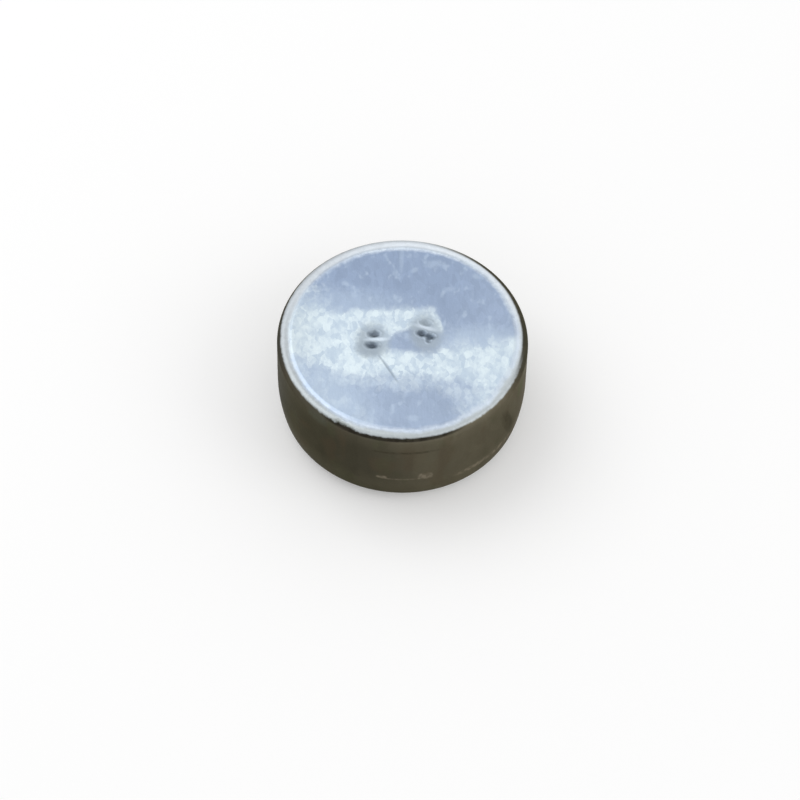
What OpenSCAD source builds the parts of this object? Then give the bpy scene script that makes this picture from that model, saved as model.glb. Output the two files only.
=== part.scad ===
// Rechargeable lithium coin cell, standing on its cap with the closed end of the can up.
// A drawn can and a pressed cap, sealed by a moulded gasket, hold a wound electrode roll,
// its two tabs, its closing tape and an insulating disc at each end.
// Heights are measured from the cap's contact face, on the cell's axis.

/* [Cell] */
// Outside diameter of the can
can_d = 12.1; // [11.6:0.1:14]
// Height from the cap's contact face to the can's contact face
cell_h = 5.4; // [5:0.1:8]

/* [Can] */
// Sheet thickness of the can
can_t = 0.2; // [0.16:0.01:0.24]
// Outside radius between the closed end and the wall
shoulder_r = 0.4; // [0.3:0.02:0.44]
// Width of the lower ring around the contact face, from the wall inwards
rim_w = 0.68; // [0.6:0.02:0.8]
// Height of the contact face above that ring
rim_drop = 0.05; // [0.03:0.01:0.08]
// Width of the slope between the ring and the contact face
rim_slope_w = 0.1; // [0.06:0.01:0.14]

/* [Crimped mouth] */
// Height where the wall starts to run in towards the mouth
run_in_z = 2.4; // [2:0.1:2.8]
// Outside radius of the run-in, as seen in the section
run_in_r = 8; // [7:0.5:12]
// Outside radius of the curl that closes the mouth
curl_r = 0.8; // [0.72:0.02:0.86]
// Angle that the curl turns through before it ends at the lip
curl_angle = 65; // [58:1:70]
// Height of the can's lip above the cap's contact face
lip_gap = 0.17; // [0.1:0.01:0.25]

/* [Weld marks] */
// Distance between the two weld marks on the closed end
weld_pitch = 2.6; // [2.2:0.1:3.4]
// Turn of the line through the two marks from the X axis
weld_turn = 16; // [0:1:45]
// Distance of that line from the cell's axis
weld_offset = 0.14; // [0:0.02:0.6]
// Shift of the pair along that line
weld_shift = -0.12; // [-0.3:0.02:0.3]
// Diameter of the dimple round each mark
dimple_d = 1.8; // [1.2:0.1:2]
// Depth of the dimple
dimple_depth = 0.05; // [0.03:0.01:0.07]
// Distance between the two pits in each dimple
pit_pitch = 0.66; // [0.5:0.02:0.8]
// Radius of the tip that pressed each pit
pit_r = 0.4; // [0.3:0.02:0.5]
// Depth of a pit below the middle of the dimple
pit_depth = 0.06; // [0.03:0.01:0.07]

/* [Gasket] */
// Wall thickness of the gasket between the can and the cap
gasket_t = 0.18; // [0.14:0.01:0.22]
// Thickness of the hook over the end of the cap's wall
hook_t = 0.15; // [0.1:0.01:0.2]
// Length of the hook down the inside of the cap's wall
hook_h = 0.35; // [0.2:0.05:0.6]
// Angle by which the gasket shows past the can's lip
gasket_show = 9; // [4:1:14]

/* [Cap] */
// Sheet thickness of the cap
cap_t = 0.2; // [0.16:0.01:0.24]
// Slope of the bevel round the cap's contact face
cap_bevel = 55; // [50:1:60]
// Outside radius between the contact face and the bevel
cap_edge_r = 0.3; // [0.26:0.02:0.5]

/* [Electrode roll] */
// Radius of the open middle of the roll, left by the winding mandrel
mandrel_r = 0.7; // [0.5:0.05:1]
// Distance from one turn of the roll to the next
turn_pitch = 0.26; // [0.22:0.01:0.36]
// Width of the separator's edge between two turns
separator_w = 0.1; // [0.06:0.01:0.14]
// Length by which the separator stands past the electrodes at each end
separator_proud = 0.12; // [0.06:0.01:0.2]
// Gap between the roll and the inside of the cap
roll_gap = 0.05; // [0.03:0.01:0.1]
// Thickness of the closing tape
tape_t = 0.06; // [0.04:0.01:0.1]
// Height of the closing tape
tape_h = 3; // [2:0.1:3.2]
// Angle that the closing tape covers round the roll
tape_angle = 250; // [120:10:330]

/* [Tabs and insulators] */
// Thickness of both tabs
tab_t = 0.1; // [0.08:0.01:0.14]
// Width of both tabs
tab_w = 2; // [1.6:0.1:2.4]
// Inside radius of the bend between a tab's strip and its leg
tab_bend_r = 0.06; // [0.04:0.01:0.08]
// Length of each leg inside the roll
leg_depth = 1.4; // [0.8:0.1:1.8]
// Distance of the positive tab's leg from the cell's axis
positive_leg_r = 3.6; // [2.8:0.1:4.2]
// Length of the positive strip past the cell's axis
positive_reach = 2.4; // [1.8:0.1:3.4]
// Distance of the negative tab's leg from the cell's axis
negative_leg_r = 3; // [2.4:0.1:3.8]
// Length of the negative strip past the cell's axis
negative_reach = 1.6; // [1:0.1:3]
// Turn of the negative tab from the X axis
negative_turn = 200; // [0:5:355]
// Thickness of the upper insulator
upper_insulator_t = 0.1; // [0.08:0.01:0.2]
// Thickness of the lower insulator
lower_insulator_t = 0.3; // [0.2:0.01:0.36]
// Gap between a tab's leg and the slot that it passes through
slot_gap = 0.03; // [0.02:0.01:0.05]

/* [Hidden] */
$fn = 96;

// How far a cutter reaches past what it cuts
past = 1;

// Outside of the can
can_r = can_d / 2;
ring_z = cell_h - rim_drop;

// Centres of the run-in and of the curl, which touch at the angle run_in_angle
run_in_x = can_r - run_in_r;
curl_z = lip_gap + curl_r * sin(curl_angle);
run_in_angle = asin((run_in_z - curl_z) / (run_in_r - curl_r));
curl_x = run_in_x + (run_in_r - curl_r) * cos(run_in_angle);

// Distances of the cap's two sides from the outside of the can
cap_out = can_t + gasket_t;
cap_in = cap_out + cap_t;

// Height of the gasket's top and of the cap's upper edge
gasket_top = ring_z - can_t;
cap_top = gasket_top - hook_t;
cap_in_r = can_r - cap_in;
hook_r = cap_in_r - hook_t;

// The stack between the cap and the closed end
roll_z0 = cap_t + tab_t + lower_insulator_t;
roll_z1 = cell_h - can_t - tab_t - upper_insulator_t;
roll_r = min(bevel_x(cap_in, roll_z0) - roll_gap, curl_x + curl_r - cap_in - tape_t - roll_gap);
lower_insulator_r = bevel_x(cap_in, cap_t + tab_t) - roll_gap;
tape_z0 = (roll_z0 + roll_z1 - tape_h) / 2;

// The separator's spiral: its first outside radius, and the whole turns that fit in the roll
spiral_r = mandrel_r + separator_w + turn_pitch / 2;
turns = floor((roll_r - spiral_r) / turn_pitch);

// Radius of the ball that leaves a dimple of the given width and depth
function ball_r(width, depth) = (width * width / 4 + depth * depth) / (2 * depth);

// Where a bevel that touches the curl at a distance inside the can's outline has a height
function bevel_x(inset, z) =
    curl_x + (curl_r - inset + (z - curl_z) * cos(cap_bevel)) / sin(cap_bevel);

// Point on the curl, at a distance inside the can's outline and an angle below the level
function curl_point(inset, angle) =
    [curl_x + (curl_r - inset) * cos(angle), curl_z - (curl_r - inset) * sin(angle)];

// Half section of the wall from the curl up, at a distance inside the can's outline
module wall_half(inset, top) {
    start = curl_point(inset, run_in_angle);
    intersection() {
        union() {
            translate([run_in_x, run_in_z]) circle(run_in_r - inset);
            translate([0, run_in_z]) square([can_r - inset, top - run_in_z]);
        }
        translate([0, start[1]]) square([can_r, top - start[1]]);
    }
    translate([curl_x, curl_z]) circle(curl_r - inset);
}

// Half section of the can's outline, filled, at a distance inside it
module can_half(inset) {
    start = curl_point(inset, run_in_angle);
    bottom = curl_z - curl_r + inset;
    shoulder_z = ring_z - shoulder_r;
    wall_half(inset, shoulder_z);
    polygon([[0, bottom], [curl_x, bottom], [curl_x, curl_z], start, [0, start[1]]]);
    translate([can_r - shoulder_r, shoulder_z]) circle(shoulder_r - inset);
    translate([0, shoulder_z]) square([can_r - shoulder_r, shoulder_r - inset]);
}

// Half section of the raised contact face, filled, at a distance inside it
module contact_half(inset) {
    low = ring_z - shoulder_r;
    polygon([
        [0, low],
        [can_r - rim_w + rim_slope_w, low],
        [can_r - rim_w + rim_slope_w, ring_z - inset],
        [can_r - rim_w, cell_h - inset],
        [0, cell_h - inset]
    ]);
}

// Half section of the cap's outline, filled: its outside, or its inside one sheet in
module cap_half(sheet, top) {
    inset = cap_out + sheet;
    edge_r = cap_edge_r - sheet;
    edge_run = edge_r * tan(cap_bevel / 2);
    corner_x = bevel_x(inset, sheet);
    edge_x = corner_x - edge_run;
    start = curl_point(inset, run_in_angle);
    wall_half(inset, top);
    translate([edge_x, sheet + edge_r]) circle(edge_r);
    polygon([
        [0, sheet],
        [edge_x, sheet],
        [edge_x, sheet + edge_r],
        [corner_x + edge_run * cos(cap_bevel), sheet + edge_run * sin(cap_bevel)],
        curl_point(inset, 90 - cap_bevel),
        [curl_x, curl_z],
        start,
        [0, start[1]]
    ]);
}

// Everything nearer the axis than a line through the curl's centre
module mouth_half(angle) {
    reach = curl_r + past;
    polygon([
        [curl_x, curl_z],
        [curl_x + reach * cos(angle), curl_z - reach * sin(angle)],
        [-past, curl_z - reach * sin(angle)],
        [-past, curl_z]
    ]);
}

// Keeps the half of a section that lies outside the axis
module right_half() {
    intersection() {
        children();
        translate([0, -past]) square([can_d, cell_h + 2 * past]);
    }
}

// The two weld marks, as the space that they leave: a dimple with two pits in it
module weld_marks() {
    ball = ball_r(dimple_d, dimple_depth);
    for (side = [-1, 1]) {
        rotate(weld_turn) translate([weld_shift + side * weld_pitch / 2, weld_offset, cell_h]) {
            translate([0, 0, ball - dimple_depth]) sphere(ball);
            for (end = [-1, 1]) {
                rotate(-weld_turn) translate([0, end * pit_pitch / 2, pit_r - dimple_depth - pit_depth])
                    sphere(pit_r);
            }
        }
    }
}

module can() {
    color([0.62, 0.66, 0.72]) difference() {
        rotate_extrude() right_half() difference() {
            union() {
                can_half(0);
                contact_half(0);
            }
            can_half(can_t);
            contact_half(can_t);
            mouth_half(curl_angle);
        }
        weld_marks();
    }
}

module gasket() {
    color([0.16, 0.16, 0.17]) rotate_extrude() right_half() {
        difference() {
            can_half(can_t);
            cap_half(0, cap_top);
            translate([0, curl_z]) square([hook_r, cell_h]);
            mouth_half(curl_angle + gasket_show);
        }
        translate([hook_r, cap_top - hook_h]) square([hook_t, gasket_top - cap_top + hook_h]);
    }
}

module cap() {
    color([0.72, 0.72, 0.7]) rotate_extrude() right_half() difference() {
        cap_half(0, cap_top);
        cap_half(cap_t, cap_top + past);
    }
}

// One half turn of the separator; every second one has its centre on the other side,
// so that the half rings meet end to end as a spiral
module half_turn(i) {
    r = spiral_r + i * turn_pitch / 2;
    side = i % 2 == 0 ? 1 : -1;
    translate([side * turn_pitch / 4, 0]) intersection() {
        difference() {
            circle(r);
            circle(r - separator_w);
        }
        translate([-can_r, side > 0 ? 0 : -can_r]) square([can_d, can_r]);
    }
}

// The space that a tab's leg needs, from a level upwards
module leg_slot(leg_r, from_z, to_z) {
    half_angle = asin((tab_w / 2 + slot_gap) / leg_r);
    rotate(-half_angle) rotate_extrude(angle = 2 * half_angle)
        translate([leg_r - tab_t / 2 - slot_gap, from_z])
        square([tab_t + 2 * slot_gap, to_z - from_z]);
}

module electrode_roll() {
    electrode_h = roll_z1 - roll_z0 - 2 * separator_proud;
    color([0.2, 0.2, 0.21]) difference() {
        union() {
            translate([0, 0, roll_z0 + separator_proud]) linear_extrude(electrode_h) difference() {
                circle(roll_r);
                circle(mandrel_r);
            }
            translate([0, 0, roll_z0]) linear_extrude(roll_z1 - roll_z0)
                for (i = [0 : 2 * turns - 1]) half_turn(i);
        }
        rotate(weld_turn) leg_slot(positive_leg_r, roll_z1 - leg_depth - slot_gap, roll_z1 + past);
        rotate(negative_turn) leg_slot(negative_leg_r, roll_z0 - past, roll_z0 + leg_depth + slot_gap);
    }
}

module closing_tape() {
    color([0.75, 0.5, 0.15]) rotate_extrude(angle = tape_angle)
        translate([roll_r, tape_z0]) square([tape_t, tape_h]);
}

// A tab with its strip on the plane below it and its leg standing up from the strip's end
module tab(leg_r, reach, leg_top) {
    half_angle = asin(tab_w / 2 / leg_r);
    leg_in = leg_r - tab_t / 2;
    bend_x = leg_in - tab_bend_r;
    bend_z = tab_t + tab_bend_r;
    strip_end = sqrt(bend_x * bend_x - tab_w * tab_w / 4);
    translate([-reach, -tab_w / 2, 0]) cube([reach + strip_end, tab_w, tab_t]);
    rotate(-half_angle) rotate_extrude(angle = 2 * half_angle) {
        translate([strip_end - tab_t, 0]) square([bend_x - strip_end + tab_t, tab_t]);
        translate([leg_in, bend_z]) square([tab_t, leg_top - bend_z]);
        translate([bend_x, bend_z]) intersection() {
            difference() {
                circle(tab_bend_r + tab_t);
                circle(tab_bend_r);
            }
            translate([0, -bend_z]) square([bend_z, bend_z]);
        }
    }
}

module positive_tab() {
    color([0.82, 0.83, 0.85]) translate([0, 0, cell_h - can_t]) mirror([0, 0, 1]) rotate(weld_turn)
        tab(positive_leg_r, positive_reach, tab_t + upper_insulator_t + leg_depth);
}

module negative_tab() {
    color([0.7, 0.68, 0.62]) translate([0, 0, cap_t]) rotate(negative_turn)
        tab(negative_leg_r, negative_reach, tab_t + lower_insulator_t + leg_depth);
}

// An insulating disc with a slit for a tab's bend and leg
module insulator(r, thick, leg_r) {
    half_angle = asin((tab_w / 2 + slot_gap) / leg_r);
    difference() {
        cylinder(h = thick, r = r);
        rotate(-half_angle) rotate_extrude(angle = 2 * half_angle)
            translate([leg_r - tab_t / 2 - tab_bend_r - slot_gap, -past])
            square([tab_t + tab_bend_r + 2 * slot_gap, thick + 2 * past]);
    }
}

module upper_insulator() {
    color([0.2, 0.45, 0.35]) translate([0, 0, roll_z1]) rotate(weld_turn)
        insulator(roll_r, upper_insulator_t, positive_leg_r);
}

module lower_insulator() {
    color([0.2, 0.45, 0.35]) translate([0, 0, cap_t + tab_t]) rotate(negative_turn)
        insulator(lower_insulator_r, lower_insulator_t, negative_leg_r);
}

can();
gasket();
cap();
electrode_roll();
closing_tape();
positive_tab();
negative_tab();
upper_insulator();
lower_insulator();
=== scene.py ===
import math

import bpy
from mathutils import Matrix, Quaternion, Vector, noise


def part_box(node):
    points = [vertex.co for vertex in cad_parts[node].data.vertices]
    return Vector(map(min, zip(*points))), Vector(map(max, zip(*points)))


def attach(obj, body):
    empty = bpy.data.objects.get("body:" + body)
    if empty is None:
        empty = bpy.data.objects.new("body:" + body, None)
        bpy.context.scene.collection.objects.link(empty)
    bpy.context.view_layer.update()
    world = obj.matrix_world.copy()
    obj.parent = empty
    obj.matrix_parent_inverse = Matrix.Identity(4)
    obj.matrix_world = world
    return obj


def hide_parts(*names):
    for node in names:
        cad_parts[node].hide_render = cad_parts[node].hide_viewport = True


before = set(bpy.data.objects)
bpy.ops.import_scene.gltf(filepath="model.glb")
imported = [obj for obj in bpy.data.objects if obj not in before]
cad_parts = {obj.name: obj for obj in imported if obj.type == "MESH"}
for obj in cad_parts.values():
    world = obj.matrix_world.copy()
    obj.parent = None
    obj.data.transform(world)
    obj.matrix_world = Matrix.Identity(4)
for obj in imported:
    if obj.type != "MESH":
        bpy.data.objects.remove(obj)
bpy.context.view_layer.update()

# Units: the sizes below are in millimetres, and Blender's are in metres
MM = 0.001

# Tolerances, of a count of steps and of a place in mm
SLACK = 1e-6
TINY = 1e-4

# The case, as the solids have it
CAN_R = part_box("can")[1].x / MM
CELL_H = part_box("can")[1].z / MM
CAP_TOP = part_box("cap")[1].z / MM
GASKET_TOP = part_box("gasket")[1].z / MM
SHEET = 0.2
SHOULDER_R = 0.4
RIM_DROP = 0.05
RUN_IN_Z = 2.4
RUN_IN_R = 8.0
CURL_R = 0.8
CURL_ANGLE = 65
LIP_GAP = 0.17
GASKET_T = 0.18
GASKET_SHOW = 9
HOOK_T = 0.15
HOOK_H = 0.35
CAP_BEVEL = 55
CAP_EDGE_R = 0.3

# Places that follow from those sizes
RING_Z = CELL_H - RIM_DROP
SHOULDER_X = CAN_R - SHOULDER_R
SHOULDER_Z = RING_Z - SHOULDER_R
RUN_IN_X = CAN_R - RUN_IN_R
CURL_Z = LIP_GAP + CURL_R * math.sin(math.radians(CURL_ANGLE))
RUN_IN_ANGLE = math.degrees(math.asin((RUN_IN_Z - CURL_Z) / (RUN_IN_R - CURL_R)))
CURL_X = RUN_IN_X + (RUN_IN_R - CURL_R) * math.cos(math.radians(RUN_IN_ANGLE))
CAP_OUT = SHEET + GASKET_T
CAP_IN = CAP_OUT + SHEET

# The contact face's edge, and how it rounds down to the ring
FACE_R = 5.33
FACE_EDGE_W = 0.2

# The two weld marks: dimple centres, dimple radius and depth
LEFT_MARK = Vector((-1.40, -0.26))
RIGHT_MARK = Vector((1.10, 0.46))
DIMPLE_R = 0.95
DIMPLE_DEPTH = 0.05

# Each pit: its mark, its place from the mark's centre, half width, half height, turn in degrees, depth and
# darkness of the painted shade in it
PITS = [
    (LEFT_MARK, (0.02, 0.36), 0.27, 0.19, 4, 0.06, 0.85),
    (LEFT_MARK, (-0.06, -0.30), 0.30, 0.20, 0, 0.06, 0.95),
    (RIGHT_MARK, (0.02, 0.38), 0.27, 0.17, -12, 0.025, 0.35),
    (RIGHT_MARK, (-0.19, -0.24), 0.24, 0.19, -20, 0.06, 0.95),
    (RIGHT_MARK, (0.22, -0.42), 0.24, 0.18, -10, 0.05, 0.95),
    (RIGHT_MARK, (0.15, -0.66), 0.12, 0.16, 0, 0.03, 0.6),
]

# A pit's slope and its soft rim's place and width, as shares of its size, and the rim's height
PIT_SLOPE = (0.35, 1.1)
PIT_RIM = 1.35
PIT_RIM_W = 0.22
PIT_RIM_H = 0.012

# The scratch in front of the left mark
SCRATCH_START = Vector((-1.05, -1.25))
SCRATCH_END = Vector((-0.22, -2.62))
SCRATCH_W = 0.075
SCRATCH_DEPTH = 0.008

# The scuff on the shoulder at the lower left: direction in degrees, radius, width along the rim and depth
SCUFF_TURN = -118
SCUFF_R = 5.85
SCUFF_W = 0.5
SCUFF_DEPTH = 0.035

# How far the scuff lies above the shoulder's centre, its slope, its unevenness, and how far it drops for each
# mm that it goes in
SCUFF_UP = 0.8 * SHOULDER_R
SCUFF_SLOPE = (0.05, 0.16)
SCUFF_MEAN = 0.7
SCUFF_ROUGH = 0.6
SCUFF_PER_MM = 9
SCUFF_DROP = 0.6

# Share of the scratch's and the scuff's width that has the full depth
FLAT_SHARE = 0.2

# Slight waves of the face: height, waves per mm and noise layer. They fade that far inside its edge
FACE_WAVES = [(0.003, 0.7, 1.5), (0.0008, 5, 4.5)]
FACE_FADE = 0.3

# Slight waves of the wall: height, waves per mm across and up, and their fades at the foot and the top
WALL_WAVE = 0.004
WALL_WAVES_ACROSS = 0.5
WALL_WAVES_UP = 0.8
FOOT_FADE = 0.5
TOP_FADE = 0.3

# Mesh steps, and the radii between which the face is finest, for the marks
AROUND = 360
POLE_STEP = 0.1
MARK_STEP = 0.03
FACE_STEP = 0.1
EDGE_STEP = 0.02
SHOULDER_STEP = 0.03
ARC_STEP = 0.05
WALL_STEP = 0.15
CAP_STEP = 0.25
MARK_REACH = (0.3, 2.75)

# The lip's rounding: the degrees that it takes and its points as shares of the sheet
LIP_TURN = 2
LIP_SHARES = (0.15, 0.5, 0.85)

# Edges sharper than this many degrees stay sharp
SHARP_ANGLE = 40


# Section lines

def stepped(start, end, step):
    """Numbers from start to end in equal steps no longer than the given one."""
    count = max(1, math.ceil(abs(end - start) / step - SLACK))
    return [start + (end - start) * i / count for i in range(count + 1)]


def arc(x, z, radius, start, end, step=ARC_STEP):
    """Section points on an arc round (x, z), its angles in degrees above the level."""
    turns = stepped(start, end, math.degrees(step / radius))
    return [(x + radius * math.cos(math.radians(a)), z + radius * math.sin(math.radians(a))) for a in turns]


def joined(*lines):
    """One line through all the given ones, without doubled points."""
    points = []
    for line in lines:
        for point in line:
            if not points or math.dist(points[-1], point) > TINY:
                points.append(point)
    return points


def side(inset, top, end_angle):
    """The can's side at a distance inside its outline: wall, run-in and curl down to an angle."""
    wall = [(CAN_R - inset, z) for z in stepped(top, RUN_IN_Z, WALL_STEP)]
    run_in = arc(RUN_IN_X, RUN_IN_Z, RUN_IN_R - inset, 0, -RUN_IN_ANGLE, WALL_STEP)
    curl = arc(CURL_X, CURL_Z, CURL_R - inset, -RUN_IN_ANGLE, -end_angle)
    return joined(wall, run_in, curl)


def curl_point(distance, angle):
    """The point at a distance from the curl's centre and an angle below the level."""
    turn = math.radians(angle)
    return CURL_X + distance * math.cos(turn), CURL_Z - distance * math.sin(turn)


def can_section():
    """The can from the middle of its closed end, down the outside, round the lip and back up the inside."""
    near, far = MARK_REACH
    radii = stepped(0, near, POLE_STEP) + stepped(near, far, MARK_STEP)
    radii += stepped(far, FACE_R - FACE_STEP, FACE_STEP) + stepped(FACE_R - FACE_STEP, SHOULDER_X, EDGE_STEP)
    face = [(r, CELL_H) for r in radii if r < SHOULDER_X - EDGE_STEP / 2]
    shoulder = arc(SHOULDER_X, SHOULDER_Z, SHOULDER_R, 90, 0, SHOULDER_STEP)
    outside = side(0, SHOULDER_Z, CURL_ANGLE - LIP_TURN)
    lip = [curl_point(CURL_R - SHEET * share, CURL_ANGLE) for share in LIP_SHARES]
    inside = side(SHEET, SHOULDER_Z, CURL_ANGLE - LIP_TURN)[::-1]
    inner_shoulder = arc(SHOULDER_X, SHOULDER_Z, SHOULDER_R - SHEET, 0, 90)
    ceiling = [
        (FACE_R + FACE_EDGE_W, RING_Z - SHEET), (FACE_R, CELL_H - SHEET), (FACE_R / 2, CELL_H - SHEET),
        (0, CELL_H - SHEET),
    ]
    return joined(face, shoulder, outside, lip, inside, inner_shoulder, ceiling)


def cap_half_section(sheet):
    """The cap from its upper edge down to the middle of its face, at a distance inside its outer surface."""
    edge_r = CAP_EDGE_R - sheet
    run = edge_r * math.tan(math.radians(CAP_BEVEL / 2))
    radius = CURL_R - CAP_OUT - sheet
    touch = curl_point(radius, 90 - CAP_BEVEL)
    corner_x = touch[0] - (touch[1] - sheet) / math.tan(math.radians(CAP_BEVEL))
    flank = side(CAP_OUT + sheet, CAP_TOP, 90 - CAP_BEVEL)
    edge = arc(corner_x - run, sheet + edge_r, edge_r, CAP_BEVEL - 90, -90, EDGE_STEP)
    face = [(r, sheet) for r in stepped(corner_x - run, 0, CAP_STEP)]
    return joined(flank, edge, face)


def cap_section():
    """The cap from the middle of its inside, out and over its edge, and down to the middle of its outside."""
    return joined(cap_half_section(SHEET)[::-1], cap_half_section(0))


def gasket_section():
    """The gasket from its outside top, round the curl to its end at the lip, and back up along the cap."""
    end = CURL_ANGLE + GASKET_SHOW
    cap_x = CAN_R - CAP_OUT
    hook_x = CAN_R - CAP_IN - HOOK_T
    shoulder = arc(SHOULDER_X, SHOULDER_Z, SHOULDER_R - SHEET, 90, 0)
    outside = side(SHEET, SHOULDER_Z, end)
    radius = CURL_R - CAP_OUT
    tip = curl_point(radius / math.cos(math.radians(end - 90 + CAP_BEVEL)), end)
    inside = side(CAP_OUT, CAP_TOP, 90 - CAP_BEVEL)[::-1]
    hook = [
        (cap_x, CAP_TOP), (cap_x - SHEET, CAP_TOP), (cap_x - SHEET, CAP_TOP - HOOK_H),
        (hook_x, CAP_TOP - HOOK_H), (hook_x, GASKET_TOP),
    ]
    return joined(shoulder, outside, [tip], inside, hook)


# Surface forms

def smooth(value, low, high):
    """0 below low, 1 above high, and an even rise between them."""
    t = min(1.0, max(0.0, (value - low) / (high - low)))
    return t * t * (3 - 2 * t)


def pit_distance(place, pit):
    """How far a place on the face is from a pit's centre, where 1 is the pit's edge."""
    mark, offset, half_w, half_h, turn, _, _ = pit
    away = place - mark - Vector(offset)
    c, s = math.cos(math.radians(turn)), math.sin(math.radians(turn))
    return math.hypot((away.x * c + away.y * s) / half_w, (away.y * c - away.x * s) / half_h)


def scratch_distance(place):
    """How far a place on the face is from the scratch."""
    along = SCRATCH_END - SCRATCH_START
    share = min(1.0, max(0.0, (place - SCRATCH_START).dot(along) / along.length_squared))
    return (place - SCRATCH_START - along * share).length


def face_height(place):
    """Height of the closed end over the plane of the contact face."""
    radius = place.length
    height = -RIM_DROP * smooth(radius, FACE_R, FACE_R + FACE_EDGE_W)
    for mark in (LEFT_MARK, RIGHT_MARK):
        share = min(1.0, (place - mark).length / DIMPLE_R)
        height -= DIMPLE_DEPTH * (1 - share * share) ** 2
    for pit in PITS:
        away = pit_distance(place, pit)
        depth = pit[5]
        height -= depth * (1 - smooth(away, *PIT_SLOPE))
        height += PIT_RIM_H * math.exp(-((away - PIT_RIM) / PIT_RIM_W) ** 2)
    height -= SCRATCH_DEPTH * (1 - smooth(scratch_distance(place), FLAT_SHARE * SCRATCH_W, SCRATCH_W))
    fade = 1 - smooth(radius, FACE_R - FACE_FADE, FACE_R)
    for size, per_mm, layer in FACE_WAVES:
        height += fade * size * noise.noise(Vector((place.x * per_mm, place.y * per_mm, layer)))
    return height


def scuff_depth(point):
    """How far the scuff presses the shoulder in."""
    turn = math.radians(SCUFF_TURN)
    along = abs(point.y * math.cos(turn) - point.x * math.sin(turn))
    facing = point.x * math.cos(turn) + point.y * math.sin(turn) > 0
    if not facing or along > SCUFF_W:
        return 0.0
    rough = SCUFF_MEAN + SCUFF_ROUGH * noise.noise(point * SCUFF_PER_MM)
    on_shoulder = 1 - smooth(abs(point.z - SHOULDER_Z - SCUFF_UP), *SCUFF_SLOPE)
    return SCUFF_DEPTH * rough * on_shoulder * (1 - smooth(along, FLAT_SHARE * SCUFF_W, SCUFF_W))


def can_shape(point):
    """Moves a point of the can's outside to its worn and pressed place, and leaves its inside alone."""
    flat = Vector((point.x, point.y))
    if point.z > CELL_H - TINY:
        return Vector((point.x, point.y, CELL_H + face_height(flat)))
    if flat.length < SHOULDER_X + 0.5 * EDGE_STEP or point.z < RUN_IN_Z - FOOT_FADE:
        return point
    if flat.length < CAN_R - 0.5 * SHEET and point.z < SHOULDER_Z:
        return point
    across, up = WALL_WAVES_ACROSS, WALL_WAVES_UP
    wave = WALL_WAVE * noise.noise(Vector((point.x * across, point.y * across, point.z * up)))
    over_foot = smooth(point.z, RUN_IN_Z - FOOT_FADE, RUN_IN_Z + FOOT_FADE)
    wave *= over_foot * (1 - smooth(point.z, SHOULDER_Z - TOP_FADE, SHOULDER_Z))
    pull = wave - scuff_depth(point)
    out = flat.normalized() * pull
    return point + Vector((out.x, out.y, min(0.0, SCUFF_DROP * (pull - wave))))


# Meshes

def revolve(name, section, shape=None):
    """A closed mesh turned from section points in mm, as an object in metres."""
    points, rings = [], []
    for radius, height in section:
        first = len(points)
        if radius < TINY:
            points.append(Vector((0, 0, height)))
        else:
            turns = [2 * math.pi * i / AROUND for i in range(AROUND)]
            points += [Vector((radius * math.cos(a), radius * math.sin(a), height)) for a in turns]
        rings.append(range(first, len(points)))
    pairs = list(zip(rings, rings[1:]))
    if len(rings[0]) > 1:
        pairs.append((rings[-1], rings[0]))
    faces = []
    for upper, lower in pairs:
        for i in range(AROUND):
            j = (i + 1) % AROUND
            if len(upper) == 1:
                faces.append((upper[0], lower[i], lower[j]))
            elif len(lower) == 1:
                faces.append((upper[i], lower[0], upper[j]))
            else:
                faces.append((upper[i], lower[i], lower[j], upper[j]))
    if shape:
        points = [shape(point) for point in points]
    mesh = bpy.data.meshes.new(name)
    mesh.from_pydata([point * MM for point in points], [], faces)
    mesh.shade_smooth()
    mesh.set_sharp_from_angle(angle=math.radians(SHARP_ANGLE))
    piece = bpy.data.objects.new(name, mesh)
    bpy.context.scene.collection.objects.link(piece)
    return piece


# Materials

def colour(red, green, blue):
    """A colour written as 0 to 255 on a screen, for a shader."""
    shares = [value / 255 for value in (red, green, blue)]
    linear = [v / 12.92 if v <= 0.04045 else ((v + 0.055) / 1.055) ** 2.4 for v in shares]
    return (*linear, 1.0)


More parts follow.
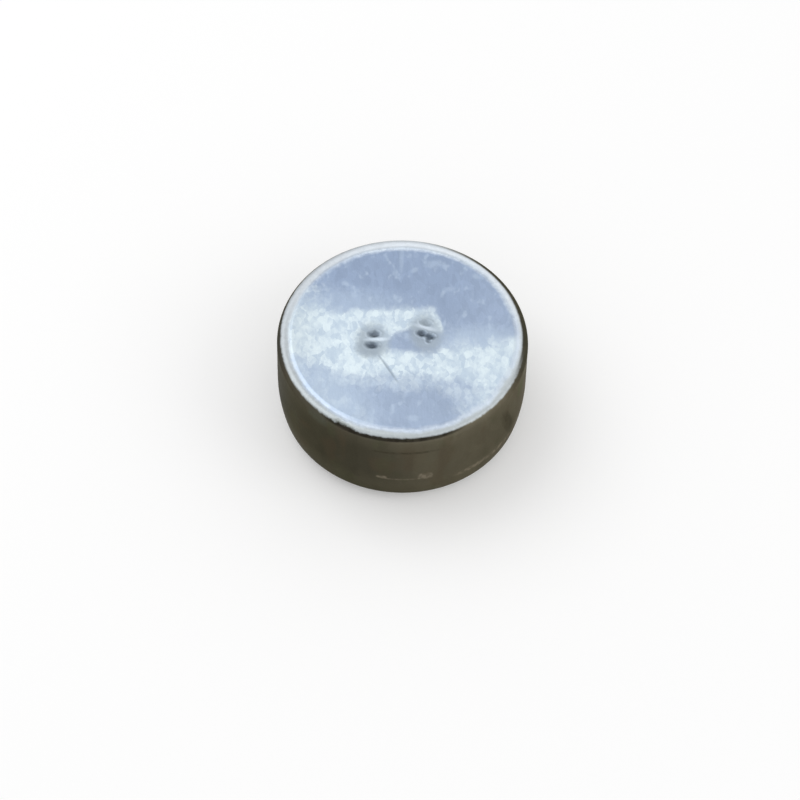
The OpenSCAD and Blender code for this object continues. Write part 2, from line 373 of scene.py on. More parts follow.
class Surface:
    """A material made of nodes. Each call adds nodes and gives back a socket for the next call."""

    # Half of the width, in mm, that a line through points can span
    LINE_REACH = 6.5

    # A size in mm so large that a place's distance in that direction doesn't count
    FAR = 1e4

    def __init__(self, name, **constants):
        self.material = bpy.data.materials.new(name)
        self.material.use_nodes = True
        self.nodes = self.material.node_tree.nodes
        self.links = self.material.node_tree.links
        self.shader = self.nodes["Principled BSDF"]
        for socket, value in constants.items():
            self.shader.inputs[socket.replace("_", " ")].default_value = value
        place = self.nodes.new("ShaderNodeTexCoord").outputs["Object"]
        self.place = self.vector("SCALE", {0: place, "Scale": 1 / MM})
        self.x, self.y, self.z = self.add("ShaderNodeSeparateXYZ", {0: self.place}).outputs
        flat = self.add("ShaderNodeCombineXYZ", {0: self.x, 1: self.y}).outputs[0]
        self.radius = self.vector("LENGTH", {0: flat}, "Value")

    def add(self, kind, inputs, **settings):
        """A new node with the given settings, its inputs linked to sockets or set to numbers."""
        node = self.nodes.new(kind)
        for name, value in settings.items():
            setattr(node, name, value)
        for key, value in inputs.items():
            if isinstance(value, bpy.types.NodeSocket):
                self.links.new(value, node.inputs[key])
            else:
                node.inputs[key].default_value = value
        return node

    def math(self, operation, a, b=0.0):
        """One step of arithmetic on numbers."""
        return self.add("ShaderNodeMath", {0: a, 1: b}, operation=operation).outputs[0]

    def vector(self, operation, inputs, result="Vector"):
        """One step of arithmetic on vectors."""
        return self.add("ShaderNodeVectorMath", inputs, operation=operation).outputs[result]

    def times(self, *factors):
        """The product of all the factors."""
        product = factors[0]
        for factor in factors[1:]:
            product = self.math("MULTIPLY", product, factor)
        return product

    def plus(self, *terms):
        """The sum of all the terms."""
        total = terms[0]
        for term in terms[1:]:
            total = self.math("ADD", total, term)
        return total

    def minus(self, value, taken):
        """The value less another."""
        return self.math("SUBTRACT", value, taken)

    def without(self, value, taken):
        """The value with the taken share left out of it."""
        return self.times(value, self.minus(1.0, taken))

    def rise(self, value, low, high):
        """0 below low and 1 above high; with high below low, the other way round."""
        inputs = {"Value": value, "From Min": low, "From Max": high}
        return self.add("ShaderNodeMapRange", inputs, interpolation_type="SMOOTHSTEP").outputs["Result"]

    def spread(self, value, low, high):
        """A 0 to 1 value spread evenly from low to high."""
        inputs = {"Value": value, "To Min": low, "To Max": high}
        return self.add("ShaderNodeMapRange", inputs).outputs["Result"]

    def clouds(self, place, per_unit, detail):
        """A soft noise node with about that many spots to each unit of the place."""
        return self.add("ShaderNodeTexNoise", {"Vector": place, "Scale": per_unit, "Detail": detail})

    def noise(self, per_mm, detail, stretch=(1, 1, 1), shift=0.0):
        """Soft noise from 0 to 1 with about that many spots per millimetre."""
        inputs = {"Vector": self.place, "Location": (shift,) * 3, "Scale": stretch}
        moved = self.add("ShaderNodeMapping", inputs).outputs[0]
        return self.clouds(moved, per_mm, detail).outputs[0]

    def wander(self, per_mm, detail, size):
        """Soft noise to both sides of 0, by half of that size each way."""
        return self.times(self.minus(self.noise(per_mm, detail), 0.5), size)

    def cells(self, per_mm, stretch, bend):
        """A random grey for each small cell of the surface, the cells' edges bent by that many mm."""
        wave = self.clouds(self.place, per_mm, 1.0).outputs[1]
        wave = self.vector("SUBTRACT", {0: wave, 1: (0.5, 0.5, 0.5)})
        wave = self.vector("SCALE", {0: wave, "Scale": 2 * bend})
        bent = self.vector("ADD", {0: self.place, 1: wave})
        moved = self.add("ShaderNodeMapping", {"Vector": bent, "Scale": stretch})
        cell = self.add("ShaderNodeTexVoronoi", {"Vector": moved.outputs[0], "Scale": per_mm})
        return self.add("ShaderNodeSeparateColor", {0: cell.outputs["Color"]}).outputs[0]

    def spot(self, x, y, half_w, half_h, turn, soft, ragged):
        """1 inside an ellipse on the face and 0 outside it, with a soft and ragged edge."""
        moved = self.add("ShaderNodeMapping", {
            "Vector": self.place, "Location": (x, y, 0), "Rotation": (0, 0, math.radians(turn)),
            "Scale": (half_w, half_h, self.FAR),
        }, vector_type="TEXTURE")
        away = self.vector("LENGTH", {0: moved.outputs[0]}, "Value")
        return self.rise(self.plus(away, self.wander(5, 3, ragged)), 1 + soft, 1 - soft)

    def line(self, value, points):
        """The height of a smooth line through points at a value, both in mm."""
        reach = self.LINE_REACH
        inputs = {"Value": value, "From Min": -reach, "From Max": reach}
        node = self.add("ShaderNodeFloatCurve", {"Value": self.add("ShaderNodeMapRange", inputs).outputs[0]})
        curve = node.mapping.curves[0]
        shares = [((a + reach) / (2 * reach), (b + reach) / (2 * reach)) for a, b in points]
        for end, share in ((0, shares[0]), (1, shares[-1])):
            curve.points[end].location = share
        for share in shares[1:-1]:
            curve.points.new(*share)
        node.mapping.update()
        return self.spread(node.outputs[0], -reach, reach)

    def mix(self, share, first, second, blend="MIX"):
        """The first colour where the share is 0, and where it is 1 the second, or both blended."""
        inputs = {"Factor": share, "A": first, "B": second}
        return self.add("ShaderNodeMix", inputs, data_type="RGBA", blend_type=blend).outputs["Result"]

    def shade(self, base, share, low, high):
        """The colour made darker or lighter, from low to high times, by a 0 to 1 value."""
        grey = self.spread(share, low, high)
        factor = self.add("ShaderNodeCombineColor", {0: grey, 1: grey, 2: grey}).outputs[0]
        return self.mix(1.0, base, factor, "MULTIPLY")

    def finish(self, base, roughness, height, distance, strength):
        """Feeds the shader, with the height as a bump of that distance in mm."""
        self.links.new(base, self.shader.inputs["Base Color"])
        self.links.new(roughness, self.shader.inputs["Roughness"])
        inputs = {"Height": height, "Distance": distance * MM, "Strength": strength}
        self.links.new(self.add("ShaderNodeBump", inputs).outputs[0], self.shader.inputs["Normal"])
        return self.material


# Colours of the closed end
# The plain part's tones, lighter in front and to the right as painted reflection
SHEEN_BACK = colour(144, 160, 185)
SHEEN_FRONT = colour(154, 169, 191)
SHEEN_RIGHT = colour(159, 174, 197)
PALE_SHEEN = colour(180, 196, 214)
# The painted reflection's dim and bright tones, for the bright patch across the closed end
REFLECTION_DIM = colour(185, 200, 214)
REFLECTION_BRIGHT = colour(213, 225, 231)
HALO_GREY = colour(156, 168, 179)
# Painted shade in the weld pits
PIT_SHADE_GREY = colour(84, 95, 108)
SCRATCH_GREY = colour(138, 152, 166)
# The ring's painted reflection, greyer in front than behind
RING_FRONT = colour(180, 187, 190)
RING_BACK = colour(216, 223, 230)
# The painted highlight line at the contact face's edge, in front and behind
HIGHLIGHT_FRONT = colour(208, 218, 230)
HIGHLIGHT_BACK = colour(226, 236, 244)
SCUFF_GREY = colour(112, 116, 110)

# Outlines of the painted reflection across the closed end, and of the blue wedge left out of it, as (x, y) in
# mm
REFLECTION_TOP = [
    (-6.5, 2.5), (-5.0, 2.0), (-4.2, 1.65), (-3.0, 1.4), (-1.5, 1.45), (-0.4, 1.4), (0.8, 1.7), (1.4, 1.7),
    (1.8, 1.0), (2.1, -0.4), (3.4, -0.8), (4.4, -0.8), (5.4, -0.5), (6.5, 0.1),
]
REFLECTION_LOW = [
    (-6.5, -1.7), (-4.4, -1.7), (-3.1, -2.1), (-1.5, -2.4), (1.0, -2.45), (3.0, -2.7), (4.6, -3.1),
    (6.5, -3.5),
]
WEDGE_TOP = [
    (-6.5, -3.0), (-1.0, -0.5), (-0.5, 0.1), (0.0, 0.5), (0.6, 0.6), (1.3, 0.45), (1.9, 0.4), (6.5, 1.5),
]
WEDGE_LOW = [(-6.5, -0.95), (-0.6, -0.95), (1.0, -1.05), (2.4, -0.8), (6.5, -0.6)]

# Pale painted reflection at the patch's fringes: centre, half width, half height, turn in degrees, share
REFLECTION_FRINGES = [
    (-5.3, 0.1, 1.6, 3.2, 0, 0.6),
    (4.7, -3.3, 1.7, 2.3, -35, 0.65),
    (-3.4, -3.5, 0.8, 2.6, 45, 0.3),
    (0.2, -2.5, 4.4, 0.75, 0, 0.42),
    (2.7, -3.2, 1.0, 0.5, -10, 0.4),
]

# Larger pale flecks outside the painted reflection, the first three being its soft painted edges: centre,
# half width, half height, turn in degrees, share
FLECKS = [
    (-3.0, 1.7, 2.8, 1.0, 0, 0.4),
    (-3.2, -3.3, 1.1, 2.6, 45, 0.5),
    (3.8, -0.15, 2.0, 0.8, 0, 0.6),
    (1.4, 4.4, 0.4, 0.22, 15, 0.35),
    (-0.15, 4.7, 0.1, 0.8, 0, 0.3),
    (0.5, 4.0, 0.2, 0.12, 40, 0.4),
    (2.2, 2.9, 0.3, 0.12, 10, 0.25),
    (-2.9, 3.1, 0.16, 0.12, 0, 0.35),
    (-2.4, 2.4, 0.14, 0.18, 0, 0.3),
    (3.5, 3.7, 0.2, 0.14, -30, 0.4),
    (0.6, -4.8, 0.3, 0.16, 0, 0.4),
]

# Grey halos of the weld marks, turned by that many degrees: centre, half width, half height
HALO_TURN = 8
HALOS = [(-1.4, -0.3, 0.78, 1.02), (-1.65, -0.8, 0.6, 0.5), (1.12, 0.22, 0.78, 1.12)]

# Painted highlights on the lands between the pits: centre, half width, half height, turn in degrees,
# raggedness, colour
LAND_HIGHLIGHTS = [
    (-1.25, -0.22, 0.5, 0.1, 4, 0.6, colour(200, 212, 223)),
    (1.05, 0.57, 0.52, 0.1, -16, 0.5, colour(190, 201, 212)),
]

# How much the painted reflection's flakes are stretched across and along
FLAKE_STRETCH = (1.2, 0.9, 1)

# Radii in mm: where the ring begins, where the painted highlight line at its start lies, and where painted
# shade darkens its back
RING_START = (5.34, 5.62)
HIGHLIGHT_RISE = (5.2, 5.42)
HIGHLIGHT_FALL = (5.64, 5.42)
RING_SHADE_RADII = (5.62, 5.9)

# The dark wall's upper edge: its height in mm, and on the right its radius
WALL_TOP = (5.25, 5.32)
RIGHT_TOP = (5.7, 5.82)


def sheen_colour(s):
    """The plain part of the closed end: pale blue-grey, a little lighter in front and to the right as painted
    reflection.
    """
    sheen = s.mix(s.rise(s.y, 4.0, -3.0), SHEEN_BACK, SHEEN_FRONT)
    sheen = s.mix(s.times(s.rise(s.x, 1.5, 5.0), 0.5), sheen, SHEEN_RIGHT)
    sheen = s.shade(sheen, s.noise(0.8, 3), 0.95, 1.07)
    sheen = s.shade(sheen, s.cells(2.6, (1.3, 0.8, 1), 0.08), 0.955, 1.045)
    sheen = s.shade(sheen, s.noise(1.0, 3, (4.0, 0.8, 1)), 0.94, 1.06)
    pale = s.rise(s.noise(1.8, 2, (1.2, 0.8, 1), 3.0), 0.56, 0.74)
    sheen = s.mix(s.times(pale, 0.5), sheen, PALE_SHEEN)
    for x, y, half_w, half_h, turn, share in FLECKS:
        fleck = s.spot(x, y, half_w, half_h, turn, 0.6, 0.9)
        sheen = s.mix(s.times(fleck, share), sheen, PALE_SHEEN)
    return sheen


def reflection_level(s):
    """How strongly the painted reflection shows at a place, before its flakes break it up."""
    uneven = s.wander(1.0, 2, 1.5)
    slight = s.times(uneven, 0.45)
    soft = s.spread(s.rise(s.x, 1.5, 3.2), -0.7, -1.3)
    under_top = s.rise(s.plus(s.minus(s.line(s.x, REFLECTION_TOP), s.y), uneven), soft, 0.6)
    over_low = s.rise(s.plus(s.minus(s.y, s.line(s.x, REFLECTION_LOW)), uneven), -0.8, 0.8)
    under_wedge = s.rise(s.plus(s.minus(s.line(s.x, WEDGE_TOP), s.y), slight), -0.25, 0.4)
    over_wedge = s.rise(s.plus(s.minus(s.y, s.line(s.x, WEDGE_LOW)), slight), -0.3, 0.5)
    wedge = s.times(under_wedge, over_wedge, s.rise(s.x, -1.0, -0.6), s.rise(s.x, 3.0, 1.8))
    level = s.times(under_top, over_low)
    for x, y, half_w, half_h, turn, share in REFLECTION_FRINGES:
        fringe = s.spot(x, y, half_w, half_h, turn, 0.7, 0.5)
        level = s.math("MAXIMUM", level, s.times(fringe, share))
    return s.without(level, s.times(wedge, 0.9))


def reflection_flake_level(s):
    """The painted reflection's flakes: bent cells of two sizes over soft clouds and blots, together about 0
    to 1.
    """
    large = s.times(s.cells(3.2, (1.2, 0.85, 1), 0.08), 0.32)
    small = s.times(s.cells(6.5, FLAKE_STRETCH, 0.04), 0.15)
    clouds = s.times(s.noise(1.1, 1, FLAKE_STRETCH, 3.5), 0.55)
    blots = s.times(s.noise(2.8, 1, FLAKE_STRETCH, 7.0), 0.3)
    return s.plus(large, small, clouds, blots)


def face_colour(s):
    """The closed end, pale blue-grey steel with a painted reflection across it as a bright mottled patch;
    also that patch alone.
    """
    flakes = reflection_flake_level(s)
    broken = s.spread(s.rise(s.y, -2.9, -1.6), 0.3, 0.45)
    flaky = s.times(s.minus(flakes, 0.63), broken)
    reflection_share = s.rise(s.plus(reflection_level(s), flaky), 0.05, 0.92)
    reflection_colour = s.mix(s.rise(flakes, 0.38, 0.92), REFLECTION_DIM, REFLECTION_BRIGHT)
    # The painted reflection is darker towards the far left
    reflection_colour = s.shade(reflection_colour, s.rise(s.x, -5.5, -3.0), 0.88, 1.0)
    return s.mix(reflection_share, sheen_colour(s), reflection_colour), reflection_share


def mark_colour(s, base):
    """The weld marks' grey halos, painted highlights on their lands and painted shade in their pits, and the
    scratch in front of the left one.
    """
    for x, y, half_w, half_h in HALOS:
        halo = s.spot(x, y, half_w, half_h, HALO_TURN, 0.35, 0.5)
        base = s.mix(s.times(halo, 0.8), base, HALO_GREY)
    for x, y, half_w, half_h, turn, ragged, shown in LAND_HIGHLIGHTS:
        base = s.mix(s.spot(x, y, half_w, half_h, turn, 0.7, ragged), base, shown)
    for mark, offset, half_w, half_h, turn, _, dark in PITS:
        core = s.spot(mark.x + offset[0], mark.y + offset[1], half_w, half_h, turn, 0.6, 1.0)
        base = s.mix(s.times(core, dark), base, PIT_SHADE_GREY)
    middle = (SCRATCH_START + SCRATCH_END) / 2
    along = SCRATCH_END - SCRATCH_START
    turn = math.degrees(math.atan2(along.y, along.x))
    line = s.spot(middle.x, middle.y, along.length / 2, SCRATCH_W, turn, 0.6, 0.3)
    return s.mix(s.times(line, 0.65), base, SCRATCH_GREY)


def right_rim(s):
    """1 along the right part of the rim, where the ring is narrow and the dark edge wide, and 0 elsewhere."""
    return s.times(s.rise(s.x, 0.5, 4.0), s.rise(s.y, -3.0, -0.5))


def ring_colour(s, base):
    """The ring round the contact face, greyer in front and darker to the left as painted reflection and
    shade, with an uneven painted highlight line at the face's edge.
    """
    narrow = s.times(right_rim(s), -0.12)
    shifted = s.plus(s.radius, s.times(s.y, 0.02), s.wander(0.7, 3, 0.3), s.wander(3, 3, 0.16), narrow)
    fine = s.plus(s.times(s.cells(5, (1, 1, 1), 0.2), 0.35), s.times(s.noise(4, 3), 0.75))
    behind = s.rise(s.y, 0.0, 3.0)
    # Painted reflection and shade: greyer in front, darker at the outer back and towards the left
    ring = s.mix(s.rise(s.y, -4.5, 5.0), RING_FRONT, RING_BACK)
    ring = s.shade(ring, s.times(s.rise(s.radius, *RING_SHADE_RADII), behind), 1.0, 0.84)
    ring = s.shade(ring, s.rise(s.x, -6.0, 1.0), 0.8, 1.0)
    ring = s.shade(ring, fine, 0.88, 1.09)
    base = s.mix(s.rise(shifted, *RING_START), base, ring)
    # Painted highlight: an uneven bright line at the face's edge, weaker on the left
    strength = s.spread(s.rise(s.x, -5.0, -1.0), 0.15, 1.0)
    edge = s.times(s.rise(shifted, *HIGHLIGHT_RISE), s.rise(shifted, *HIGHLIGHT_FALL), strength)
    line = s.mix(behind, HIGHLIGHT_FRONT, HIGHLIGHT_BACK)
    base = s.mix(s.times(edge, s.spread(fine, 0.1, 1.0)), base, line)
    turn = math.radians(SCUFF_TURN)
    x, y = SCUFF_R * math.cos(turn), SCUFF_R * math.sin(turn)
    scuff = s.spot(x, y, SCUFF_W, 0.1, SCUFF_TURN + 90, 0.7, 1.6)
    return s.mix(s.times(scuff, 0.7), base, SCUFF_GREY)


# Colours of the wall, lighter to the right as painted light
WALL_SHADED_LEFT = colour(67, 64, 54)
WALL_LIT_RIGHT = colour(95, 90, 76)
WALL_BROWN = colour(84, 70, 56)
WALL_GREEN = colour(74, 78, 58)
WALL_RIM = colour(62, 63, 62)

# Height in mm at which the wall is darkest, its painted light rising above and below
WALL_MIDDLE = 3.2

# Colours of the painted reflections, highlights and shade on the wall
PALE = colour(96, 92, 77)
PALE_BROWN = colour(136, 127, 111)
DARK = colour(58, 54, 43)
BLACK = colour(36, 33, 28)
DARK_RIM = colour(52, 52, 44)
GREEN = colour(86, 94, 64)
GREY_GREEN = colour(84, 88, 78)

# Painted reflections on the wall, a painted highlight along the curl and painted shade under the rim:
# direction in degrees, height, half width, half height, soft edge, raggedness, lean, share and colour
WALL_REFLECTIONS = [
    (-78, 3.1, 0.6, 1.2, 0.9, 0.9, 0.0, 0.55, PALE),
    (-78, 2.2, 0.36, 0.22, 0.9, 2.0, 0.0, 0.8, PALE_BROWN),
    (-98, 2.12, 0.26, 0.12, 0.9, 2.0, 0.0, 0.65, PALE_BROWN),
    (-89, 2.02, 0.9, 0.06, 0.9, 2.4, 0.0, 0.4, PALE_BROWN),
    (-88, 4.22, 1.6, 0.08, 0.9, 1.6, 0.0, 0.6, DARK),
    (-46, 1.55, 1.8, 0.17, 0.9, 2.6, 0.0, 1.0, PALE_BROWN),
    (-32, 3.05, 0.36, 1.0, 0.9, 1.0, 0.35, 0.7, DARK),
    (-37, 3.7, 0.2, 0.9, 0.9, 1.0, 0.35, 0.5, PALE),
    (-24, 3.2, 0.3, 0.8, 0.9, 1.0, 0.35, 0.4, PALE),
    (-19, 4.2, 0.4, 0.5, 0.9, 1.0, 0.0, 0.5, GREEN),
    (-131, 4.9, 0.6, 0.3, 0.9, 1.2, 0.0, 0.5, GREY_GREEN),
    (-94, 5.24, 3.2, 0.13, 0.6, 0.5, 0.0, 0.9, BLACK),
    (20, 5.2, 4.2, 0.26, 0.9, 0.4, 0.0, 0.8, DARK_RIM),
]


def facing(s, turn):
    """For a direction in degrees: the distance across it, and 1 on that side of the cell and 0 behind it."""
    angle = math.radians(turn)
    across = s.minus(s.times(s.y, math.cos(angle)), s.times(s.x, math.sin(angle)))
    towards = s.plus(s.times(s.x, math.cos(angle)), s.times(s.y, math.sin(angle)))
    return across, s.rise(towards, 0.0, 1.0)


def wall_patch(s, turn, height, half_w, half_h, soft, ragged, lean):
    """1 inside an upright patch on the wall, at a direction in degrees and a height in mm."""
    across, front = facing(s, turn)
    up = s.minus(s.z, height)
    across = s.math("ABSOLUTE", s.math("DIVIDE", s.plus(across, s.times(up, lean)), half_w))
    up = s.math("ABSOLUTE", s.math("DIVIDE", up, half_h))
    away = s.plus(s.times(up, up), s.math("POWER", across, 4.0), s.wander(6, 3, ragged))
    gaps = s.times(s.rise(s.noise(4, 3, (1, 1, 1), 6.0), 0.6, 0.4), ragged / 3)
    return s.without(s.times(front, s.rise(away, 1 + soft, 1 - soft)), gaps)


def wall_colour(s):
    """The wall: dark olive steel, lighter to the right, above and below as painted light, with brown and
    green clouds.
    """
    # Painted light: lighter to the right, and above and below the middle
    right = s.rise(s.x, -2.5, 3.5)
    base = s.mix(right, WALL_SHADED_LEFT, WALL_LIT_RIGHT)
    from_middle = s.math("ABSOLUTE", s.minus(s.z, WALL_MIDDLE))
    base = s.shade(base, s.without(s.rise(from_middle, 0.8, 2.0), s.times(right, 0.5)), 1.0, 1.33)
    base = s.shade(base, s.noise(0.5, 3, (1, 1, 0.7), 2.0), 0.86, 1.14)
    base = s.shade(base, s.cells(1.3, (1, 1, 0.5), 0.5), 0.95, 1.05)
    base = s.shade(base, s.noise(1.0, 3, (1.5, 1.5, 0.35), 9.0), 0.86, 1.14)
    brown = s.rise(s.noise(0.8, 2, (1, 1, 0.6), 5.0), 0.5, 0.65)
    base = s.mix(s.times(brown, 0.25), base, WALL_BROWN)
    green = s.rise(s.noise(0.9, 2, (1, 1, 0.6), 8.0), 0.55, 0.7)
    base = s.mix(s.times(green, 0.25), base, WALL_GREEN)
    return s.mix(s.times(s.rise(s.x, -5.2, -6.0), 0.6), base, WALL_RIM)


def wall_reflections(s, base):
    """The painted reflections and highlights on the front of the wall, and the painted shade line along its
    top.
    """
    for turn, height, half_w, half_h, soft, ragged, lean, share, shown in WALL_REFLECTIONS:
        mark = wall_patch(s, turn, height, half_w, half_h, soft, ragged, lean)
        base = s.mix(s.times(mark, share), base, shown)
    return base


def top_share(s):
    """1 on the closed end and the ring and 0 on the wall, with an uneven edge that frays at the scuff."""
    frayed = s.times(s.rise(s.y, -4.0, -5.0), s.rise(s.x, -0.6, -2.0))
    wobble = s.wander(4, 3, s.spread(frayed, 0.06, 0.16))
    back = s.times(s.math("MAXIMUM", s.y, 0.0), 0.012)
    front = s.times(s.math("MINIMUM", s.y, 0.0), -0.004)
    top = s.rise(s.plus(s.z, back, front, wobble), *WALL_TOP)
    return s.without(top, s.times(s.rise(s.plus(s.radius, wobble), *RIGHT_TOP), right_rim(s)))


def can_material():
    """Drawn steel: the pale closed end with its marks, the ring round it and the dark wall, with painted
    reflections, highlights and shade on all three.
    """
    s = Surface("can_steel_drawn", Metallic=1.0, Specular_Tint=(0.57, 0.56, 0.5, 1))
    face, reflection_share = face_colour(s)
    face = ring_colour(s, mark_colour(s, face))
    base = s.mix(top_share(s), wall_reflections(s, wall_colour(s)), face)
    grain = s.noise(14, 2)
    roughness = s.spread(s.plus(s.times(grain, 0.6), s.times(reflection_share, 0.4)), 0.36, 0.56)
    relief = s.plus(s.noise(6, 3, (1.2, 0.9, 1)), s.times(s.noise(1.0, 3, (8, 1, 1)), 0.6))
    return s.finish(base, roughness, relief, 0.01, 0.6)


def cap_material():
    """Nickel-plated cap: pale warm metal with faint turning marks and contact wear in its middle."""
    s = Surface("cap_steel_plated", Metallic=0.9)
    turned = s.add("ShaderNodeCombineXYZ", {0: s.times(s.radius, 9.0), 1: s.times(s.z, 2.0)}).outputs[0]
    rings = s.clouds(turned, 1.0, 3.0).outputs[0]
    base = s.mix(s.noise(0.6, 3), colour(196, 193, 184), colour(214, 213, 206))
    base = s.shade(base, rings, 0.92, 1.06)
    worn = s.times(s.spot(0.4, -0.3, 2.0, 1.6, 20, 0.6, 0.6), s.rise(s.noise(4, 3), 0.4, 0.65))
    base = s.mix(s.times(worn, 0.4), base, colour(176, 172, 160))
    roughness = s.spread(s.plus(s.times(rings, 0.5), s.times(worn, 0.5)), 0.26, 0.5)
    return s.finish(base, roughness, s.plus(rings, s.times(s.noise(8, 3), 0.4)), 0.006, 0.5)


def plastic_material(name, first, second, per_mm, rough, **constants):
    """Moulded plastic or film: two close tones, a fine grain and a soft sheen."""
    s = Surface(name, **constants)
    base = s.mix(s.noise(per_mm, 3), first, second)
    grain = s.noise(per_mm * 8, 3)
    return s.finish(s.shade(base, grain, 0.92, 1.08), s.spread(grain, *rough), grain, 0.008, 0.5)


def strip_material(name, first, second, turn):
    """Rolled metal strip: fine lines along it, at a direction in degrees, and a few darker rubs."""
    s = Surface(name, Metallic=1.0)
    rolled = s.add("ShaderNodeMapping", {
        "Vector": s.place, "Rotation": (0, 0, math.radians(-turn)), "Scale": (0.6, 14, 1),
    })
    lines = s.clouds(rolled.outputs[0], 1.0, 3.0).outputs[0]
    base = s.shade(s.mix(lines, first, second), s.noise(1.5, 3), 0.9, 1.05)
    return s.finish(base, s.spread(lines, 0.25, 0.45), lines, 0.004, 0.5)


def roll_material():
    """The roll: white separator edges and outer turn, dark electrode ends between them."""
    s = Surface("electrode_roll_coated")
    low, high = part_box("electrode_roll")
    from_end = s.math("MINIMUM", s.minus(s.z, low.z / MM), s.minus(high.z / MM, s.z))
    outside = s.rise(s.radius, high.x / MM - 0.05, high.x / MM - 0.02)
    edge = s.rise(from_end, 0.1, 0.06)
    white = s.mix(s.noise(1.2, 3), colour(226, 226, 220), colour(240, 240, 236))
    cloth = s.shade(white, s.noise(20, 2), 0.94, 1.03)
    black = s.mix(s.noise(2.0, 3), colour(34, 34, 37), colour(56, 52, 48))
    paste = s.shade(black, s.noise(24, 3), 0.8, 1.2)
    base = s.mix(s.math("MAXIMUM", outside, edge), paste, cloth)
    grain = s.noise(22, 3)
    return s.finish(base, s.spread(grain, 0.55, 0.85), grain, 0.01, 0.6)


# Pieces

# Directions of the two tabs in degrees
POSITIVE_TAB_TURN = 16
NEGATIVE_TAB_TURN = 200


def dress(piece, nodes, material):
    """Gives a piece its material and slot, and puts it in the place of its CAD nodes."""
    piece.data.materials.append(material)
    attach(piece, "root")
    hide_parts(*nodes)


def coat(node, material):
    """Gives a CAD node its material."""
    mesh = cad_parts[node].data
    mesh.materials.clear()
    mesh.materials.append(material)


def build_case():
    """The can, the gasket and the cap, as turned meshes in the place of their solids."""
    dress(revolve("can_dressed", can_section(), can_shape), ["can"], can_material())
    gasket = plastic_material("gasket_moulded", colour(38, 38, 40), colour(48, 48, 50), 2, (0.45, 0.65))
    dress(revolve("gasket_dressed", gasket_section()), ["gasket"], gasket)
    dress(revolve("cap_dressed", cap_section()), ["cap"], cap_material())


def build_inside():
    """The sealed pieces, which keep their solids and get materials of their own."""
    coat("electrode_roll", roll_material())
    amber = colour(196, 132, 30), colour(208, 148, 44)
    coat("closing_tape", plastic_material("closing_tape_film", *amber, 1.5, (0.15, 0.35), Coat_Weight=0.3))
    aluminium = colour(222, 223, 226), colour(236, 236, 238)
    coat("positive_tab", strip_material("positive_tab_rolled", *aluminium, POSITIVE_TAB_TURN))
    nickel = colour(190, 186, 174), colour(208, 204, 194)
    coat("negative_tab", strip_material("negative_tab_rolled", *nickel, NEGATIVE_TAB_TURN))
    film = plastic_material("insulator_film", colour(52, 112, 84), colour(62, 124, 94), 1.5, (0.3, 0.5))
    coat("upper_insulator", film)
    coat("lower_insulator", film)


# Studio

# Brightness of the white surround: the light that it gives, and how it looks
WORLD_LIGHT = 0.72
WORLD_SHOWN = 1.0

# The floor: half its width in metres, its place under the cell in mm, its grey and its added brightness
FLOOR_HALF = 0.6
FLOOR_DROP = 0.01
FLOOR_GREY = (0.8, 0.8, 0.8, 1)
FLOOR_GLOW = 0.24

# Lamps: name, direction and elevation in degrees, distance and size in metres, watts
LAMPS = [
    ("key_lamp", 150, 55, 0.22, 0.17, 0.11),
    ("fill_lamp", -20, 40, 0.22, 0.12, 0.05),
]

# The camera, fitted to the cell's outline: it looks down at AIM from a distance, rolled a little
CAMERA_ELEVATION = 53.67
CAMERA_DISTANCE = 170.0
CAMERA_AIM = Vector((-0.053, -0.83, 1.24))
CAMERA_ROLL = 1.44
CAMERA_LENS = 159.1
CAMERA_SENSOR = 36
CAMERA_CLIP = 0.001

WHITE = (1, 1, 1, 1)


def seen_directly(tree):
    """1 for what the camera, metal and glass see, and 0 for the light that falls on things."""
    path = tree.nodes.new("ShaderNodeLightPath")
    total = path.outputs["Is Camera Ray"]
    for name in ("Is Glossy Ray", "Is Transmission Ray"):
        node = tree.nodes.new("ShaderNodeMath")
        node.operation = "MAXIMUM"
        tree.links.new(total, node.inputs[0])
        tree.links.new(path.outputs[name], node.inputs[1])
        total = node.outputs[0]
    return total


def build_world():
    """A plain white surround that lights the cell evenly."""
    world = bpy.data.worlds.new("studio_world")
    bpy.context.scene.world = world
    world.use_nodes = True
    tree = world.node_tree
    light = tree.nodes["Background"]
    light.inputs["Color"].default_value = WHITE
    light.inputs["Strength"].default_value = WORLD_LIGHT
    shown = tree.nodes.new("ShaderNodeBackground")
    shown.inputs["Color"].default_value = WHITE
    shown.inputs["Strength"].default_value = WORLD_SHOWN
    mix = tree.nodes.new("ShaderNodeMixShader")
    tree.links.new(seen_directly(tree), mix.inputs[0])
    tree.links.new(light.outputs[0], mix.inputs[1])
    tree.links.new(shown.outputs[0], mix.inputs[2])
    tree.links.new(mix.outputs[0], tree.nodes["World Output"].inputs["Surface"])


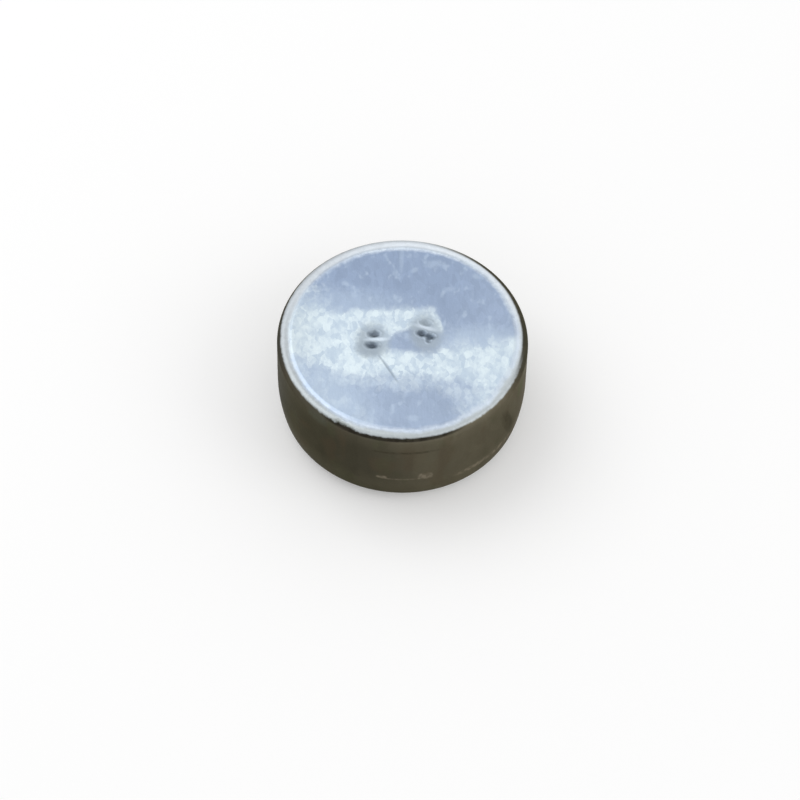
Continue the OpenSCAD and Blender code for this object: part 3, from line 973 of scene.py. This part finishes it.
def build_floor():
    """A plain pale floor, a hair under the cell, that keeps the cell's soft shadow."""
    half, low = FLOOR_HALF, -FLOOR_DROP * MM
    mesh = bpy.data.meshes.new("floor")
    corners = [(-half, -half, low), (half, -half, low), (half, half, low), (-half, half, low)]
    mesh.from_pydata(corners, [], [(0, 1, 2, 3)])
    floor = bpy.data.objects.new("floor", mesh)
    bpy.context.scene.collection.objects.link(floor)
    material = bpy.data.materials.new("floor_paper")
    material.use_nodes = True
    tree = material.node_tree
    paper = tree.nodes["Principled BSDF"]
    paper.inputs["Base Color"].default_value = FLOOR_GREY
    paper.inputs["Roughness"].default_value = 1.0
    paper.inputs["Specular IOR Level"].default_value = 0.0
    paper.inputs["Emission Color"].default_value = WHITE
    strength = tree.nodes.new("ShaderNodeMath")
    strength.operation = "MULTIPLY"
    strength.inputs[1].default_value = FLOOR_GLOW
    tree.links.new(seen_directly(tree), strength.inputs[0])
    tree.links.new(strength.outputs[0], paper.inputs["Emission Strength"])
    mesh.materials.append(material)


def build_lamp(name, turn, elevation, distance, size, watts):
    """A square soft lamp that points at the cell, from a direction in degrees and a distance in metres."""
    data = bpy.data.lights.new(name, "AREA")
    data.shape = "SQUARE"
    data.size = size
    data.energy = watts
    lamp = bpy.data.objects.new(name, data)
    a, e = math.radians(turn), math.radians(elevation)
    lamp.location = Vector((math.cos(a) * math.cos(e), math.sin(a) * math.cos(e), math.sin(e))) * distance
    lamp.rotation_euler = (-lamp.location).to_track_quat("-Z", "Y").to_euler()
    bpy.context.scene.collection.objects.link(lamp)


def build_camera():
    """The camera at its fitted place, turned to its aim and rolled."""
    data = bpy.data.cameras.new("camera")
    data.lens = CAMERA_LENS
    data.sensor_width = CAMERA_SENSOR
    data.clip_start = CAMERA_CLIP
    camera = bpy.data.objects.new("camera", data)
    e = math.radians(CAMERA_ELEVATION)
    place = Vector((0, -math.cos(e), math.sin(e))) * CAMERA_DISTANCE + Vector((0, 0, CELL_H))
    turn = (CAMERA_AIM - place).to_track_quat("-Z", "Y") @ Quaternion((0, 0, 1), math.radians(CAMERA_ROLL))
    camera.matrix_world = Matrix.Translation(place * MM) @ turn.to_matrix().to_4x4()
    bpy.context.scene.collection.objects.link(camera)
    bpy.context.scene.camera = camera


def build_studio():
    """The surround, the floor, the lamps and the camera, with colours shown as they are written."""
    build_world()
    build_floor()
    for lamp in LAMPS:
        build_lamp(*lamp)
    build_camera()
    bpy.context.scene.view_settings.view_transform = "Standard"


build_case()
build_inside()
build_studio()
